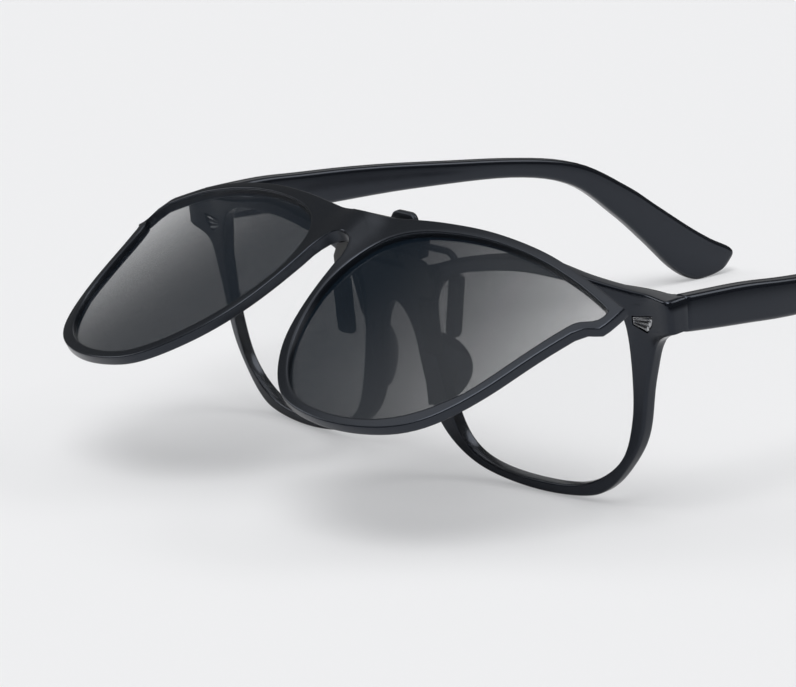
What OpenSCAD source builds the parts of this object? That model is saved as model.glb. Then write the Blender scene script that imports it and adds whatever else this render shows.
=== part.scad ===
// Optical frame with a flip-up clip-on pair of tinted lenses.
// Millimetres. X runs across the face, Y from the front to the ear ends, Z up from the table.
// The shapes are drawn with the middle of the bridge's face over y = 0, and standing() then
// sets the whole with its middle over the origin.
// Everything on the front is drawn in the front's own upright frame and then leaned forward.
// The clip-on is drawn folded down over the front and then swung up about its pin.

/* [Front] */
// Width of one lens opening
eye_w = 48.8; // [44:0.2:52]
// Height of one lens opening
eye_h = 40.6; // [36:0.2:44]
// Gap between the two lens openings across the nose
nose_w = 18.8; // [16:0.2:22]
// Width of the rim below each opening
rim_low_w = 2.1; // [1.6:0.1:3]
// Width of the rim beside each opening, on the temple side
rim_side_w = 2.9; // [2.2:0.1:4]
// Width of the rim beside each opening, on the nose side
rim_nose_w = 4.2; // [3:0.1:5.4]
// Height of the brow over each opening
brow_h = 2.8; // [2:0.1:4]
// Depth of the front from its face to its back
front_t = 2.6; // [2.2:0.1:3.4]
// Radius of the wrap of the front's face
wrap_r = 303; // [200:1:500]
// Forward lean of the front
lean = 5; // [0:0.5:8]
// Height of the bridge of the front
bridge_h = 7.4; // [5:0.1:9]

/* [Clear lenses] */
// Thickness of a clear lens
clear_t = 2.4; // [1.8:0.1:2.4]
// Depth of the lens groove
groove_d = 0.7; // [0.4:0.05:1]
// Width of the lens groove
groove_w = 0.9; // [0.6:0.05:1.2]

/* [Nose pads] */
// Height of a moulded nose pad
pad_h = 14; // [10:0.5:15]
// How far a pad stands back from the face of the front
pad_d = 9; // [6:0.5:11]
// Thickness of a pad
pad_t = 2.8; // [2:0.1:4]
// Outward turn of a pad
pad_turn = 24; // [10:1:35]

/* [Temples] */
// Half of the width over both temples at the hinges
half_w = 69.5; // [68:0.5:72]
// Run of a temple from the hinge to its end, measured level
temple_run = 141; // [128:0.5:152]
// Thickness of a temple
temple_t = 3.4; // [2.6:0.1:4.2]
// Height of the temple at the hinge
temple_h = 5.6; // [5:0.1:7]
// Height of the hinge end's upper edge above the table
temple_top = 41.4; // [39:0.1:43]
// Outward bow of a temple behind its hinge
bow = 1.2; // [0:0.1:2]
// Inward set of a temple's end
toe_in = 4.8; // [2:0.2:8]
// Y of the seam between front and temple
seam_y = 6.7; // [6.3:0.1:8]

/* [Temple hinges] */
// Radius of a hinge barrel
barrel_r = 1.3; // [1.1:0.05:1.5]
// Height of the stack of three barrels
barrel_stack = 4.8; // [4:0.1:5]
// Radius of a hinge screw's shank
screw_r = 0.55; // [0.4:0.05:0.65]
// Thickness of a hinge leaf
leaf_t = 0.7; // [0.5:0.05:0.9]

/* [Plaques] */
// Length of the ridged plaque on each end piece
plaque_l = 4.2; // [3:0.1:4.6]
// Height of a plaque at its wide end
plaque_h = 2.7; // [2:0.1:3.4]
// Height of a plaque at its narrow end
plaque_h_min = 1.1; // [0.8:0.1:1.8]
// How far a plaque stands out of the front
plaque_proud = 0.35; // [0.2:0.05:0.6]

/* [Clip-on] */
// Half width of the clip-on at its temple corners
clip_half_w = 66.8; // [62:0.2:70]
// Height of the clip-on from its upper reference line down
clip_drop = 49; // [44:0.2:52]
// Depth of the clip-on's rims
clip_t = 2; // [1.6:0.1:2.6]
// Width of the clip-on's rims
clip_rim_w = 2.4; // [1.8:0.1:3.2]
// Gap between the front's face and the clip-on when it is down
clip_gap = 2.5; // [2.3:0.1:3.5]
// Height of the clip-on's reference line when it is down
clip_ref_z = 48.2; // [47:0.1:50]
// Height of the clip-on's bridge
clip_bridge_h = 6.2; // [5.6:0.1:7]
// Thickness of a tinted lens
tint_t = 1.1; // [0.8:0.1:1.3]
// Angle from the down pose to the photographed pose
flip_rest = 65.4; // [0:0.1:90]

/* [Flip hinge] */
// Distance of the flip pin in front of the front's face
flip_out = 1.8; // [1.6:0.1:2.2]
// Height of the flip pin on the front
flip_z = 48; // [47.6:0.1:49]
// Radius of the flip pin
flip_pin_r = 0.7; // [0.5:0.05:0.8]
// Radius of the flip hinge's knuckle and lugs
flip_barrel_r = 1.5; // [1.3:0.05:1.6]
// Length of the knuckle on the clip-on
knuckle_l = 8.4; // [6:0.1:10]
// Thickness of each lug beside the knuckle
lug_t = 1.8; // [1.2:0.1:2.4]

/* [Clamp] */
// How far the clamp sits off the middle of the bridge, as it was clipped on in the photo
clip_set = -1.2; // [-3:0.1:3]
// Width over the two prongs
prong_span = 29.4; // [28:0.2:33]
// Width of a front prong
prong_w = 3; // [2.4:0.1:3.4]
// Thickness of the front prong plate
prong_t = 0.8; // [0.6:0.05:1]
// Height of the prong ends above the front's lowest edge
prong_end_z = 23.6; // [21:0.2:27]
// Wall of the rubber sleeves
sleeve_t = 0.7; // [0.5:0.05:0.8]
// Length of a rubber sleeve
sleeve_l = 11; // [7:0.5:12]
// Gap between the front's bridge and the block above it
bridge_gap = 0.9; // [0.5:0.1:1.5]
// Width of the block that bridges the front
block_w = 12; // [12:0.2:14]
// Thickness of that block above the bridge
block_t = 2.8; // [2.2:0.1:3]
// Radius of the wire of the rear claw
wire_r = 0.6; // [0.45:0.05:0.7]
// Radius of the bend of that wire
bend_r = 2.8; // [2:0.1:3.4]
// Half width over the rear claw's wires
claw_x = 15.2; // [14.6:0.1:16]
// Inward slant of the wires' legs
leg_turn = 13; // [8:1:14]
// Height of the rear sleeves' ends above the front's lowest edge
rear_end_z = 26.1; // [24.5:0.1:27]
// Width of the thumb lever
thumb_w = 7; // [6:0.1:8]
// Height of the thumb lever's top on the front
thumb_z = 47.8; // [47.4:0.1:49]
// Radius of the claw pin
claw_pin_r = 0.6; // [0.45:0.05:0.7]

/* [Clearances] */
// Radial clearance of a pin that something turns on
run_gap = 0.05; // [0.02:0.01:0.09]
// Clearance of pieces that sit in each other
seat_gap = 0.05; // [0.03:0.01:0.1]
// Distance between faces that pass each other
pass_gap = 0.3; // [0.2:0.05:0.4]

/* [Hidden] */
$fn = 48;
eps = 0.02;

black = "#202124";
steel = "#b8bcc2";
rubber = "#141416";

// Curve helpers

// A point of a Catmull-Rom curve between b and c
function curve_at(a, b, c, d, t) =
    0.5 * (2 * b + (c - a) * t + (2 * a - 5 * b + 4 * c - d) * t * t
    + (3 * b - a - 3 * c + d) * t * t * t);
// A closed smooth outline through p, with n steps between points
function loop_through(p, n) = let (m = len(p))
    [for (i = [0 : m - 1], k = [0 : n - 1])
        curve_at(p[(i + m - 1) % m], p[i], p[(i + 1) % m], p[(i + 2) % m], k / n)];
// An open smooth line through p, with n steps between points
function line_through(p, n) = let (m = len(p))
    [for (i = [0 : m - 2], k = [0 : n - 1])
        curve_at(p[max(i - 1, 0)], p[i], p[i + 1], p[min(i + 2, m - 1)], k / n), p[m - 1]];
function unit(v) = v / norm(v);
// A closed anticlockwise outline moved outward by d
function grown(p, d) = let (m = len(p))
    [for (i = [0 : m - 1])
        let (a = unit(p[i] - p[(i + m - 1) % m]), b = unit(p[(i + 1) % m] - p[i]),
             s = unit([a.y + b.y, -a.x - b.x]))
        p[i] + s * d / max(0.5, s * [b.y, -b.x])];

// Outlines of the front, seen from the front, in the front's own frame

eye_x = nose_w / 2 + eye_w / 2;
eye_z = rim_low_w + eye_h / 2;
eye_top = eye_z + eye_h / 2;
// The lens opening as shares of its half width and half height
eye_shape = [[0.995, 0], [1, 0.5], [0.94, 0.78], [0.74, 0.93], [0.4, 0.985], [0, 1],
             [-0.4, 0.93], [-0.74, 0.83], [-0.95, 0.6], [-0.985, 0.3], [-0.96, 0],
             [-0.84, -0.55], [-0.69, -0.82], [-0.42, -0.955], [0, -1], [0.45, -0.965],
             [0.82, -0.7], [0.95, -0.33]];
eye = loop_through([for (p = eye_shape) [eye_x + p.x * eye_w / 2, eye_z + p.y * eye_h / 2]], 4);
rim_x = eye_x + eye_w / 2 + rim_side_w;
rim_nose_x = nose_w / 2 - rim_nose_w;
bridge_top = eye_top - 3.2;
arch_z = bridge_top - bridge_h;
end_bottom = temple_top - temple_h;
// The brow from the middle of the bridge to the end piece
brow = line_through([[0, bridge_top], [nose_w * 0.43, bridge_top + 0.3],
    [nose_w / 2 + eye_w * 0.18, eye_top + brow_h * 0.04], [eye_x - 3.7, eye_top + brow_h * 0.9],
    [eye_x + 5.5, eye_top + brow_h], [eye_x + 16, eye_top + brow_h * 0.24],
    [eye_x + eye_w / 2 + 1.5, eye_top - 0.3], [half_w - 2, temple_top - 0.5],
    [half_w + 1, temple_top - 1]], 4);
// The rim from under the end piece round to the arch over the nose
underside = line_through([[half_w + 1, end_bottom - 0.5], [half_w - 2.6, end_bottom - 1.5],
    [rim_x + 3, end_bottom - 3.6], [rim_x + 1.4, eye_z + 5], [rim_x, eye_z],
    [rim_x - 1.9, eye_z - 9], [eye_x + eye_w * 0.42, eye_z - eye_h * 0.395],
    [eye_x + eye_w * 0.34, eye_z - eye_h * 0.485],
    [eye_x + eye_w * 0.24, eye_z - eye_h / 2 - rim_low_w * 0.72],
    [eye_x, eye_z - eye_h / 2 - rim_low_w], [eye_x - eye_w * 0.25, eye_z - eye_h * 0.512],
    [rim_nose_x + 9.4, eye_z - eye_h * 0.44], [rim_nose_x + 4.4, eye_z - eye_h * 0.33],
    [rim_nose_x + 1.4, eye_z - eye_h * 0.17],
    [rim_nose_x, eye_z + 1.5], [rim_nose_x - 1, arch_z - 4.4], [rim_nose_x - 3, arch_z - 1.2],
    [0, arch_z]], 4);
front_half = concat([for (i = [len(underside) - 1 : -1 : 0]) underside[i]],
                    [for (i = [len(brow) - 1 : -1 : 0]) brow[i]]);

// Outlines of the clip-on, seen from the front in the down pose, z from its reference line

clip_s = clip_half_w / 66.8;
clip_v = clip_drop / 49;
clip_top = line_through([[0, -1.2], [5, -0.9], [10, -0.1], [20, 1.6], [32, 2.7], [45, 2.1], [57, -0.5],
                         [66.8, -3.1]], 4);
clip_low = concat([[66, -9.2], [63.6, -10.4]],
    line_through([[62.3, -12.4], [60.8, -18], [58, -30], [51.5, -43], [39.5, -48.5], [28, -48.8],
                  [19.6, -45.8], [11, -36.2], [6.6, -25], [4.9, -15]], 4));
clip_arch_z = -clip_bridge_h - 1;
clip_half = [for (p = concat([for (i = [len(clip_top) - 1 : -1 : 0]) clip_top[i]],
                             [[0, clip_arch_z], [2.4, clip_arch_z - 0.6], [4.2, clip_arch_z - 3.4]],
                             [for (i = [len(clip_low) - 1 : -1 : 0]) clip_low[i]]))
                [p.x * clip_s, p.y * (p.y < -12 ? clip_v : 1)]];
// The clip-on's lens opening lies inside its outline by the rim's width
clip_eye_top = line_through([[8.6, -9.2], [13.4, -4.6], [20, -1.9], [32, 0], [45, -0.5],
                             [56, -3], [63.6, -5.7]], 4);
clip_eye_low = line_through([[62.8, -7.3], [60.3, -9.7], [58.6, -15], [55.6, -29], [49.6, -41.2],
                             [39, -46.1], [28.4, -46.4], [21.4, -43.8], [13.2, -34.6],
                             [8.9, -24], [7.4, -15]], 4);
clip_eye = grown([for (p = concat([for (i = [len(clip_eye_top) - 1 : -1 : 0]) clip_eye_top[i]],
                                  [for (i = [len(clip_eye_low) - 1 : -1 : 0]) clip_eye_low[i]]))
                    [p.x * clip_s, p.y * (p.y < -12 ? clip_v : 1)]], 2.4 - clip_rim_w);

// Places shared by the pieces, in the front's own frame

function wrap_y(x) = wrap_r - sqrt(wrap_r * wrap_r - x * x);
hinge_x = half_w - temple_t - 0.8;
hinge_y = seam_y + 0.9;
hinge_z = (temple_top + end_bottom) / 2;
barrel_gap = 0.08;
barrel_h = (barrel_stack - 2 * barrel_gap) / 3;
flip_y = -flip_out;
plate_y = -prong_t - 0.45;
prong_x = prong_span / 2 - prong_w / 2 - sleeve_t;
face_y = wrap_y(prong_x - prong_w / 2 - sleeve_t - abs(clip_set));
back_y = wrap_y(claw_x + wire_r + sleeve_t + abs(clip_set)) + front_t;
block_z = bridge_top + bridge_gap;
block_top = block_z + block_t;
block_back = wrap_y(block_w / 2) + front_t + 0.55;
wire_y = back_y + wire_r + sleeve_t + 0.12;
wire_z = block_z + 2;
claw_y = wire_y + 0.5;
claw_z = wire_z + claw_pin_r + wire_r + 0.45;
ear_w = 2;
coil_w = 1.2;
cheek_x = ear_w / 2 + coil_w + 0.1;
cheek_end = block_w / 2 + 0.2;
leaf_z = flip_z - flip_barrel_r - 0.4;

// Y of a folded-down point of the clip-on in the photographed pose
function flipped_y(y, z) = let (dy = y - flip_y, dz = z - flip_z)
    (flip_y + dy * cos(flip_rest) + dz * sin(flip_rest)) * cos(lean)
    - (flip_z - dy * sin(flip_rest) + dz * cos(flip_rest)) * sin(lean);
// The origin lies under the middle of the whole, between the clip-on's lower edge and the ear ends
mid_y = (flipped_y(wrap_y(eye_x) - clip_gap - clip_t, clip_ref_z - clip_drop) + seam_y + temple_run) / 2;
module standing() translate([0, -mid_y, 0]) children();
// What is clipped onto the front stands a little to one side of its middle
module set_on() standing() translate([clip_set, 0, 0]) children();
module leaned() rotate([lean, 0, 0]) children();
module both_sides() { children(); mirror([1, 0, 0]) children(); }
module side(s) { if (s > 0) children(); else mirror([1, 0, 0]) children(); }
// An outline seen from the front, drawn out through the depth
module through(p, y0 = -8, y1 = 16) {
    translate([0, y1, 0]) rotate([90, 0, 0]) linear_extrude(y1 - y0) polygon(p);
}
// The wrapped space between two depths behind the face
module wrapped(y0, y1) {
    translate([0, wrap_r, -20]) difference() {
        cylinder(h = 90, r = wrap_r - y0, $fn = 360);
        translate([0, 0, -1]) cylinder(h = 92, r = wrap_r - y1, $fn = 360);
    }
}
// A round bar along X from x0 to x1
module bar(x0, x1, y, z, r) translate([x0, y, z]) rotate([0, 90, 0]) cylinder(h = x1 - x0, r = r);
// A side profile in y and z, drawn out from x0 to x1
module profile(x0, x1, p) {
    translate([x0, 0, 0]) rotate([90, 0, 90]) linear_extrude(x1 - x0) polygon(p);
}
// Swings what is drawn folded down up to the photographed pose
module flipped() {
    leaned() translate([0, flip_y, flip_z]) rotate([-flip_rest, 0, 0])
        translate([0, -flip_y, -flip_z]) children();
}

// The front

module end_block() {
    inner_x = rim_x - 1.6;
    intersection() {
        // Plan of the end piece: its outer side rounds back to the seam
        translate([0, 0, end_bottom - 16]) linear_extrude(30) polygon([
            [inner_x, 0], [half_w - 4, 0], [half_w - 2.4, seam_y - 3.1], [half_w - 1.1, seam_y - 2.1],
            [half_w - 0.3, seam_y - 1.1], [half_w, seam_y - 0.1], [inner_x, seam_y - 0.1]]);
        // Its top falls toward the rim
        through([[inner_x - 1, end_bottom - 16], [half_w + 1, end_bottom - 16],
                 [half_w + 1, temple_top + 1], [half_w - 3, temple_top + 0.1],
                 [inner_x - 1, temple_top - 1.2]]);
    }
}
module barrel_room(h) {
    translate([hinge_x, hinge_y, hinge_z - h / 2]) cylinder(h = h, r = barrel_r + pass_gap);
}
module nose_pad() {
    pad_z = eye_z - 2.8;
    low = pad_z - pad_h / 2;
    translate([rim_nose_x + 2.6, 1.2, 0]) rotate([0, 0, -pad_turn])
        profile(-pad_t / 2, pad_t / 2, line_through([[0, low + 0.6], [pad_d * 0.35, low],
            [pad_d * 0.7, low + pad_h * 0.16], [pad_d * 0.93, pad_z - 1.5], [pad_d * 0.9, pad_z + 2],
            [pad_d * 0.6, low + pad_h * 0.78], [pad_d * 0.3, low + pad_h * 0.92],
            [0, low + pad_h]], 3));
}
module front_frame() color(black) standing() difference() {
    union() {
        intersection() {
            leaned() both_sides() through(front_half);
            union() {
                difference() {
                    leaned() wrapped(0, front_t);
                    both_sides() translate([half_w - 3, -20, -5]) cube([20, 60, 70]);
                    both_sides() translate([rim_x, seam_y - 0.1, end_bottom - 4]) cube([40, 30, 70]);
                }
                both_sides() intersection() {
                    end_block();
                    leaned() translate([0, wrap_r, -20]) cylinder(h = 90, r = wrap_r, $fn = 360);
                }
            }
        }
        leaned() both_sides() nose_pad();
    }
    leaned() both_sides() {
        through(eye, -4);
        intersection() {
            through(grown(eye, groove_d));
            wrapped(front_t / 2 - groove_w / 2, front_t / 2 + groove_w / 2);
        }
    }
    both_sides() {
        barrel_room(20);
        translate([hinge_x - 5.2, seam_y - 0.1 - leaf_t - seat_gap, hinge_z - barrel_stack / 2 - seat_gap])
            cube([5.2, leaf_t + seat_gap + 1, barrel_stack + 2 * seat_gap]);
        leaned() plaque_shape(seat_gap);
    }
}
module clear_lens(s) color("#e8f0f4", 0.35) standing() side(s) leaned() {
    lens_y = (front_t - clear_t) / 2;
    intersection() {
        through(grown(eye, -seat_gap));
        wrapped(lens_y, lens_y + clear_t);
    }
    intersection() {
        through(grown(eye, groove_d - seat_gap));
        wrapped(front_t / 2 - groove_w / 2 + seat_gap, front_t / 2 + groove_w / 2 - seat_gap);
    }
}
// The fan-shaped plaque, with three ridges that open toward the temple
module plaque_shape(grow) {
    px = (rim_x + half_w) / 2 - 5.5;
    pz = eye_top - 6.2;
    translate([px, wrap_y(px), pz]) rotate([0, 0, asin((px + plaque_l / 2) / wrap_r)])
        translate([0, 0.5 + grow, 0]) rotate([90, 0, 0]) {
            linear_extrude(0.5 + plaque_proud / 2 + 2 * grow) polygon(grown([[0, -plaque_h_min / 2],
                [plaque_l * 0.72, -plaque_h * 0.62], [plaque_l * 0.93, -plaque_h * 0.12],
                [plaque_l, plaque_h * 0.38], [0, plaque_h_min / 2]], grow));
            if (grow == 0) for (k = [0 : 2])
                linear_extrude(0.5 + plaque_proud) polygon([
                    [0.15, plaque_h_min * (k / 3 - 0.44)],
                    [plaque_l * (0.72 + 0.09 * k), plaque_h * (k / 3 - 0.56)],
                    [plaque_l * (0.78 + 0.09 * k), plaque_h * (k / 3 - 0.32)],
                    [0.15, plaque_h_min * (k / 3 - 0.2)]]);
        }
}
module plaque(s) color(steel) standing() side(s) leaned() plaque_shape(0);

// The temple hinges

module hinge_front_leaf(s) color(steel) standing() side(s) difference() {
    union() {
        for (k = [0, 2])
            translate([hinge_x, hinge_y, hinge_z - barrel_stack / 2 + k * (barrel_h + barrel_gap)])
                cylinder(h = barrel_h, r = barrel_r);
        translate([hinge_x - 5, seam_y - 0.1 - leaf_t, hinge_z - barrel_stack / 2])
            cube([3.6, leaf_t, barrel_stack]);
        for (k = [0, 2])
            translate([hinge_x - 1.5, seam_y - 0.1 - leaf_t,
                       hinge_z - barrel_stack / 2 + k * (barrel_h + barrel_gap)])
                cube([1.5, hinge_y - seam_y + 0.1 + leaf_t, barrel_h]);
    }
    translate([hinge_x, hinge_y, hinge_z - 5]) cylinder(h = 10, r = screw_r + run_gap);
}
tongue_y = hinge_y - seam_y + screw_r + run_gap + 0.2;
module hinge_temple_leaf(s) color(steel) standing() side(s) difference() {
    union() {
        translate([hinge_x, hinge_y, hinge_z - barrel_h / 2]) cylinder(h = barrel_h, r = barrel_r);
        toed() {
            // The knuckle's tongue starts inside the barrel's wall, clear of the screw's bore
            translate([-leaf_t - 0.1, tongue_y, hinge_z - barrel_h / 2])
                cube([leaf_t, barrel_r + 3, barrel_h]);
            translate([-leaf_t - 0.1, hinge_y - seam_y + barrel_r + 2 * pass_gap,
                       hinge_z - barrel_stack / 2 + 0.3])
                cube([leaf_t, 7.4, barrel_stack - 0.6]);
        }
    }
    translate([hinge_x, hinge_y, hinge_z - 5]) cylinder(h = 10, r = screw_r + run_gap);
}
module hinge_screw(s) color(steel) standing() side(s) {
    translate([hinge_x, hinge_y, hinge_z - barrel_stack / 2 + 0.1])
        cylinder(h = barrel_stack, r = screw_r);
    translate([hinge_x, hinge_y, hinge_z + barrel_stack / 2]) difference() {
        cylinder(h = 0.55, r = barrel_r * 0.78);
        translate([-2, -0.12, 0.3]) cube([4, 0.24, 1]);
    }
}

// The temples

// Plan of a temple's outer side: how far back as a share of the run, and how far out
bow_line = line_through([for (p = [[0, 0, 0], [0.08, 0.6, 0], [0.2, 1, 0], [0.35, 0.8, 0.16],
                                   [0.5, 0.35, 0.45], [0.7, 0, 0.72], [0.85, 0, 0.86], [1.02, 0, 1]])
    [half_w + p.y * bow - p.z * toe_in, seam_y + p.x * temple_run]], 4);
// Puts what is drawn from the temple's inner front edge along Y onto the right temple's line
module toed() {
    translate([half_w - temple_t, seam_y, 0]) rotate([0, 0, -atan(0.6 * bow / (0.08 * temple_run))])
        children();
}
// Upper edge of a temple: how far back, its height, and how deep the temple is there
tall = temple_h / 5.6;
temple_line = [for (p = [[0, 1, 5.6], [0.1, 0.993, 6.5], [0.19, 0.967, 6.4], [0.37, 0.922, 5.2],
                         [0.555, 0.853, 4.1], [0.683, 0.761, 5.2], [0.78, 0.587, 9], [0.878, 0.365, 12.3]])
                  [p.x * temple_run, p.y * temple_top, p.z * tall]];
ear_end = [[0.907, 0.008], [0.93, 0], [0.975, 0.022], [0.997, 0.05], [1, 0.08], [0.992, 0.125]];
top_edge = line_through([for (q = temple_line) [q.x, q.y]], 4);
low_edge = line_through([for (q = temple_line) [q.x, q.y - q.z]], 4);
module temple(s) color(black) standing() side(s) difference() {
    intersection() {
        translate([0, seam_y, 0]) profile(half_w - 20, half_w + 10, concat(
            low_edge, [for (p = ear_end) [p.x * temple_run, p.y * temple_top]],
            [for (k = [len(top_edge) - 1 : -1 : 0]) top_edge[k]]));
        translate([0, 0, -5]) linear_extrude(60) polygon(concat(bow_line,
            [for (k = [len(bow_line) - 1 : -1 : 0]) bow_line[k] - [temple_t, 0]]));
    }
    barrel_room(barrel_stack + 4);
}

// The clip-on

module clip_cut(y0, y1, p) {
    intersection() {
        translate([0, 0, clip_ref_z]) through(p, -12, 16);
        wrapped(y0, y1);
    }
}
clip_back = -clip_gap;
clip_face = clip_back - clip_t;
clip_mid = clip_back - clip_t / 2;
screw_x = 2.4;
screw_z = clip_ref_z - 4.4;
module clip_frame() color(black) set_on() flipped() difference() {
    union() {
        both_sides() clip_cut(clip_face, clip_back, clip_half);
        // The bridge is thicker than the rims
        clip_cut(clip_face - 0.9, clip_back, [[-4.6, -6.4], [-3, clip_arch_z], [3, clip_arch_z],
                                              [4.6, -6.4], [6.4, -1.2], [-6.4, -1.2]]);
    }
    both_sides() {
        clip_cut(clip_face - 2, clip_back + 2, clip_eye);
        clip_cut(clip_mid - tint_t / 2 - seat_gap, clip_mid + tint_t / 2 + seat_gap,
                 grown(clip_eye, groove_d));
        translate([screw_x, clip_back + 0.5, screw_z]) rotate([90, 0, 0]) cylinder(h = 2, r = 0.5);
    }
    bar(-knuckle_l / 2 - lug_t - pass_gap, knuckle_l / 2 + lug_t + pass_gap, flip_y, flip_z,
        flip_barrel_r + pass_gap);
}
module tinted_lens(s) color("#50555a", 0.8) set_on() side(s) flipped()
    clip_cut(clip_mid - tint_t / 2, clip_mid + tint_t / 2, grown(clip_eye, groove_d - seat_gap));
plate_t = 0.6;
plate_back = clip_back + wrap_y(knuckle_l / 2) + eps;
module clip_bracket() color(steel) set_on() flipped() difference() {
    union() {
        bar(-knuckle_l / 2, knuckle_l / 2, flip_y, flip_z, flip_barrel_r);
        translate([-knuckle_l / 2 + 0.3, plate_back, clip_ref_z - 5.6])
            cube([knuckle_l - 0.6, plate_t, flip_z - clip_ref_z + 5.6]);
    }
    bar(-10, 10, flip_y, flip_z, flip_pin_r + run_gap);
    for (x = [-screw_x, screw_x])
        translate([x, clip_back + 2, screw_z]) rotate([90, 0, 0]) cylinder(h = 4, r = 0.5);
}
module bracket_screws() color(steel) set_on() flipped() for (x = [-screw_x, screw_x])
    translate([x, plate_back + plate_t, screw_z]) {
        rotate([90, 0, 0]) cylinder(h = 1.9, r = 0.45);
        translate([0, 0.35, 0]) rotate([90, 0, 0]) difference() {
            cylinder(h = 0.35, r = 0.85);
            translate([-1, -0.1, -0.1]) cube([2, 0.2, 0.25]);
        }
    }
module flip_pin() color(steel) set_on() leaned()
    bar(-knuckle_l / 2 - lug_t - 0.2, knuckle_l / 2 + lug_t + 0.2, flip_y, flip_z, flip_pin_r);

// The clamp on the front

block_front = plate_y + prong_t + seat_gap;
rivet_x = block_w / 2 - 1.6;
rivet_z = bridge_top + 2.4;
module lug(x0) {
    profile(x0, x0 + lug_t, [[flip_y - flip_barrel_r * 0.5, flip_z - flip_barrel_r * 0.86],
        [block_front, block_top - 0.4], [2.4, block_top - 0.4], [2.4, block_top + 0.7],
        [flip_y + flip_barrel_r * 0.75, flip_z + flip_barrel_r * 0.6]]);
    bar(x0, x0 + lug_t, flip_y, flip_z, flip_barrel_r);
}
module clamp_block() color(black) set_on() leaned() difference() {
    union() {
        translate([-block_w / 2, block_front, block_z])
            cube([block_w, block_back - block_front, block_t]);
        translate([-block_w / 2, block_front, block_top - 0.1]) cube([block_w, 2.8, 0.8]);
        lug(knuckle_l / 2 + 0.1);
        mirror([1, 0, 0]) lug(knuckle_l / 2 + 0.1);
        profile(-ear_w / 2, ear_w / 2, [[block_back - 0.4, block_top - 2], [claw_y, claw_z - 1.3],
            [claw_y, claw_z + 1.3], [block_back - 1.4, block_top + 0.7], [block_back - 1.4, block_top - 2]]);
        bar(-ear_w / 2, ear_w / 2, claw_y, claw_z, 1.3);
        // The post under the detent spring
        translate([-2.6, 0.2, block_top - 0.1]) cube([5.2, 1.8, leaf_z - block_top + 0.1 - eps]);
    }
    bar(-10, 10, flip_y, flip_z, flip_pin_r + eps);
    bar(-10, 10, claw_y, claw_z, claw_pin_r + eps);
    rivets(seat_gap);
}
module detent_spring() color(steel) set_on() leaned()
    profile(-2.4, 2.4, [[1.9, leaf_z], [1.9, leaf_z + 0.3],
        [flip_y + 0.25, leaf_z + 0.3], [flip_y + 0.25, leaf_z]]);

module front_prongs() color(steel) set_on() leaned() {
    ins = prong_x - prong_w / 2;
    out = prong_x + prong_w / 2;
    half = concat([[0, bridge_top + 1.6], [6.4, bridge_top + 1.3], [8.4, bridge_top - 1.4],
                   [ins - 1, bridge_top - 4], [ins, prong_end_z + sleeve_l]],
                  [for (a = [180 : 15 : 360]) [prong_x + cos(a) * prong_w / 2,
                                               prong_end_z + sleeve_t + (1 + sin(a)) * prong_w / 2]],
                  [[out, bridge_top - 0.6], [out - 1.4, bridge_top + 2], [block_w / 2 + 2, block_top - 0.5],
                   [0, block_top - 0.5]]);
    difference() {
        intersection() {
            both_sides() through(half, -6, 6);
            translate([-40, plate_y, 0]) cube([80, prong_t, 80]);
        }
        rivets(seat_gap);
    }
}
module rivets(grow) for (x = [-rivet_x, rivet_x])
    translate([x, plate_y + prong_t + 1.6 + grow, rivet_z]) rotate([90, 0, 0])
        cylinder(h = prong_t + 1.6 + grow + eps, r = 0.5 + grow);
module prong_rivets() color(steel) set_on() leaned() {
    rivets(0);
    for (x = [-rivet_x, rivet_x])
        translate([x, plate_y - eps, rivet_z]) rotate([90, 0, 0]) cylinder(h = 0.3, r = 0.8);
}
module sleeve_round(x, y, z, w, d, h) {
    r = min(w, d) / 2 - 0.01;
    translate([x - w / 2 + r, y - d / 2, z]) cube([w - 2 * r, d, h]);
    for (s = [-1, 1]) translate([x + s * (w / 2 - r), y, z]) cylinder(h = h, r = r);
}
module front_sleeve(s) color(rubber) set_on() side(s) leaned() difference() {
    sleeve_y0 = plate_y - sleeve_t - 0.3;
    sleeve_y1 = face_y - 0.08;
    w = prong_w + 2 * sleeve_t;
    d = sleeve_y1 - sleeve_y0;
    sleeve_round(prong_x, (sleeve_y0 + sleeve_y1) / 2, prong_end_z, w, d, sleeve_l);
    translate([prong_x - prong_w / 2 - seat_gap, plate_y - seat_gap, prong_end_z + sleeve_t - seat_gap])
        cube([prong_w + 2 * seat_gap, prong_t + 2 * seat_gap, sleeve_l]);
}
module claw_pin() color(steel) set_on() leaned()
    bar(-cheek_end - 0.1, cheek_end + 0.1, claw_y, claw_z, claw_pin_r);
// A tube of six sides along the points p
module tube(p, r) {
    n = len(p);
    k = 6;
    function ahead(i) = unit(p[min(i + 1, n - 1)] - p[max(i - 1, 0)]);
    function across(i) = unit(cross(ahead(i), [0.31, 0.2, 0.93]));
    ring = [for (i = [0 : n - 1], j = [0 : k - 1])
        p[i] + r * (cos(360 * j / k) * across(i) + sin(360 * j / k) * cross(ahead(i), across(i)))];
    sides = [for (i = [0 : n - 2], j = [0 : k - 1], t = [0, 1])
        let (a = i * k + j, b = i * k + (j + 1) % k)
        t == 0 ? [a, b, b + k] : [a, b + k, a + k]];
    caps = [for (j = [1 : k - 2], t = [0, 1])
        t == 0 ? [0, j + 1, j] : [(n - 1) * k, (n - 1) * k + j, (n - 1) * k + j + 1]];
    polyhedron(points = ring, faces = [for (f = concat(sides, caps)) [f[0], f[2], f[1]]]);
}
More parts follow.
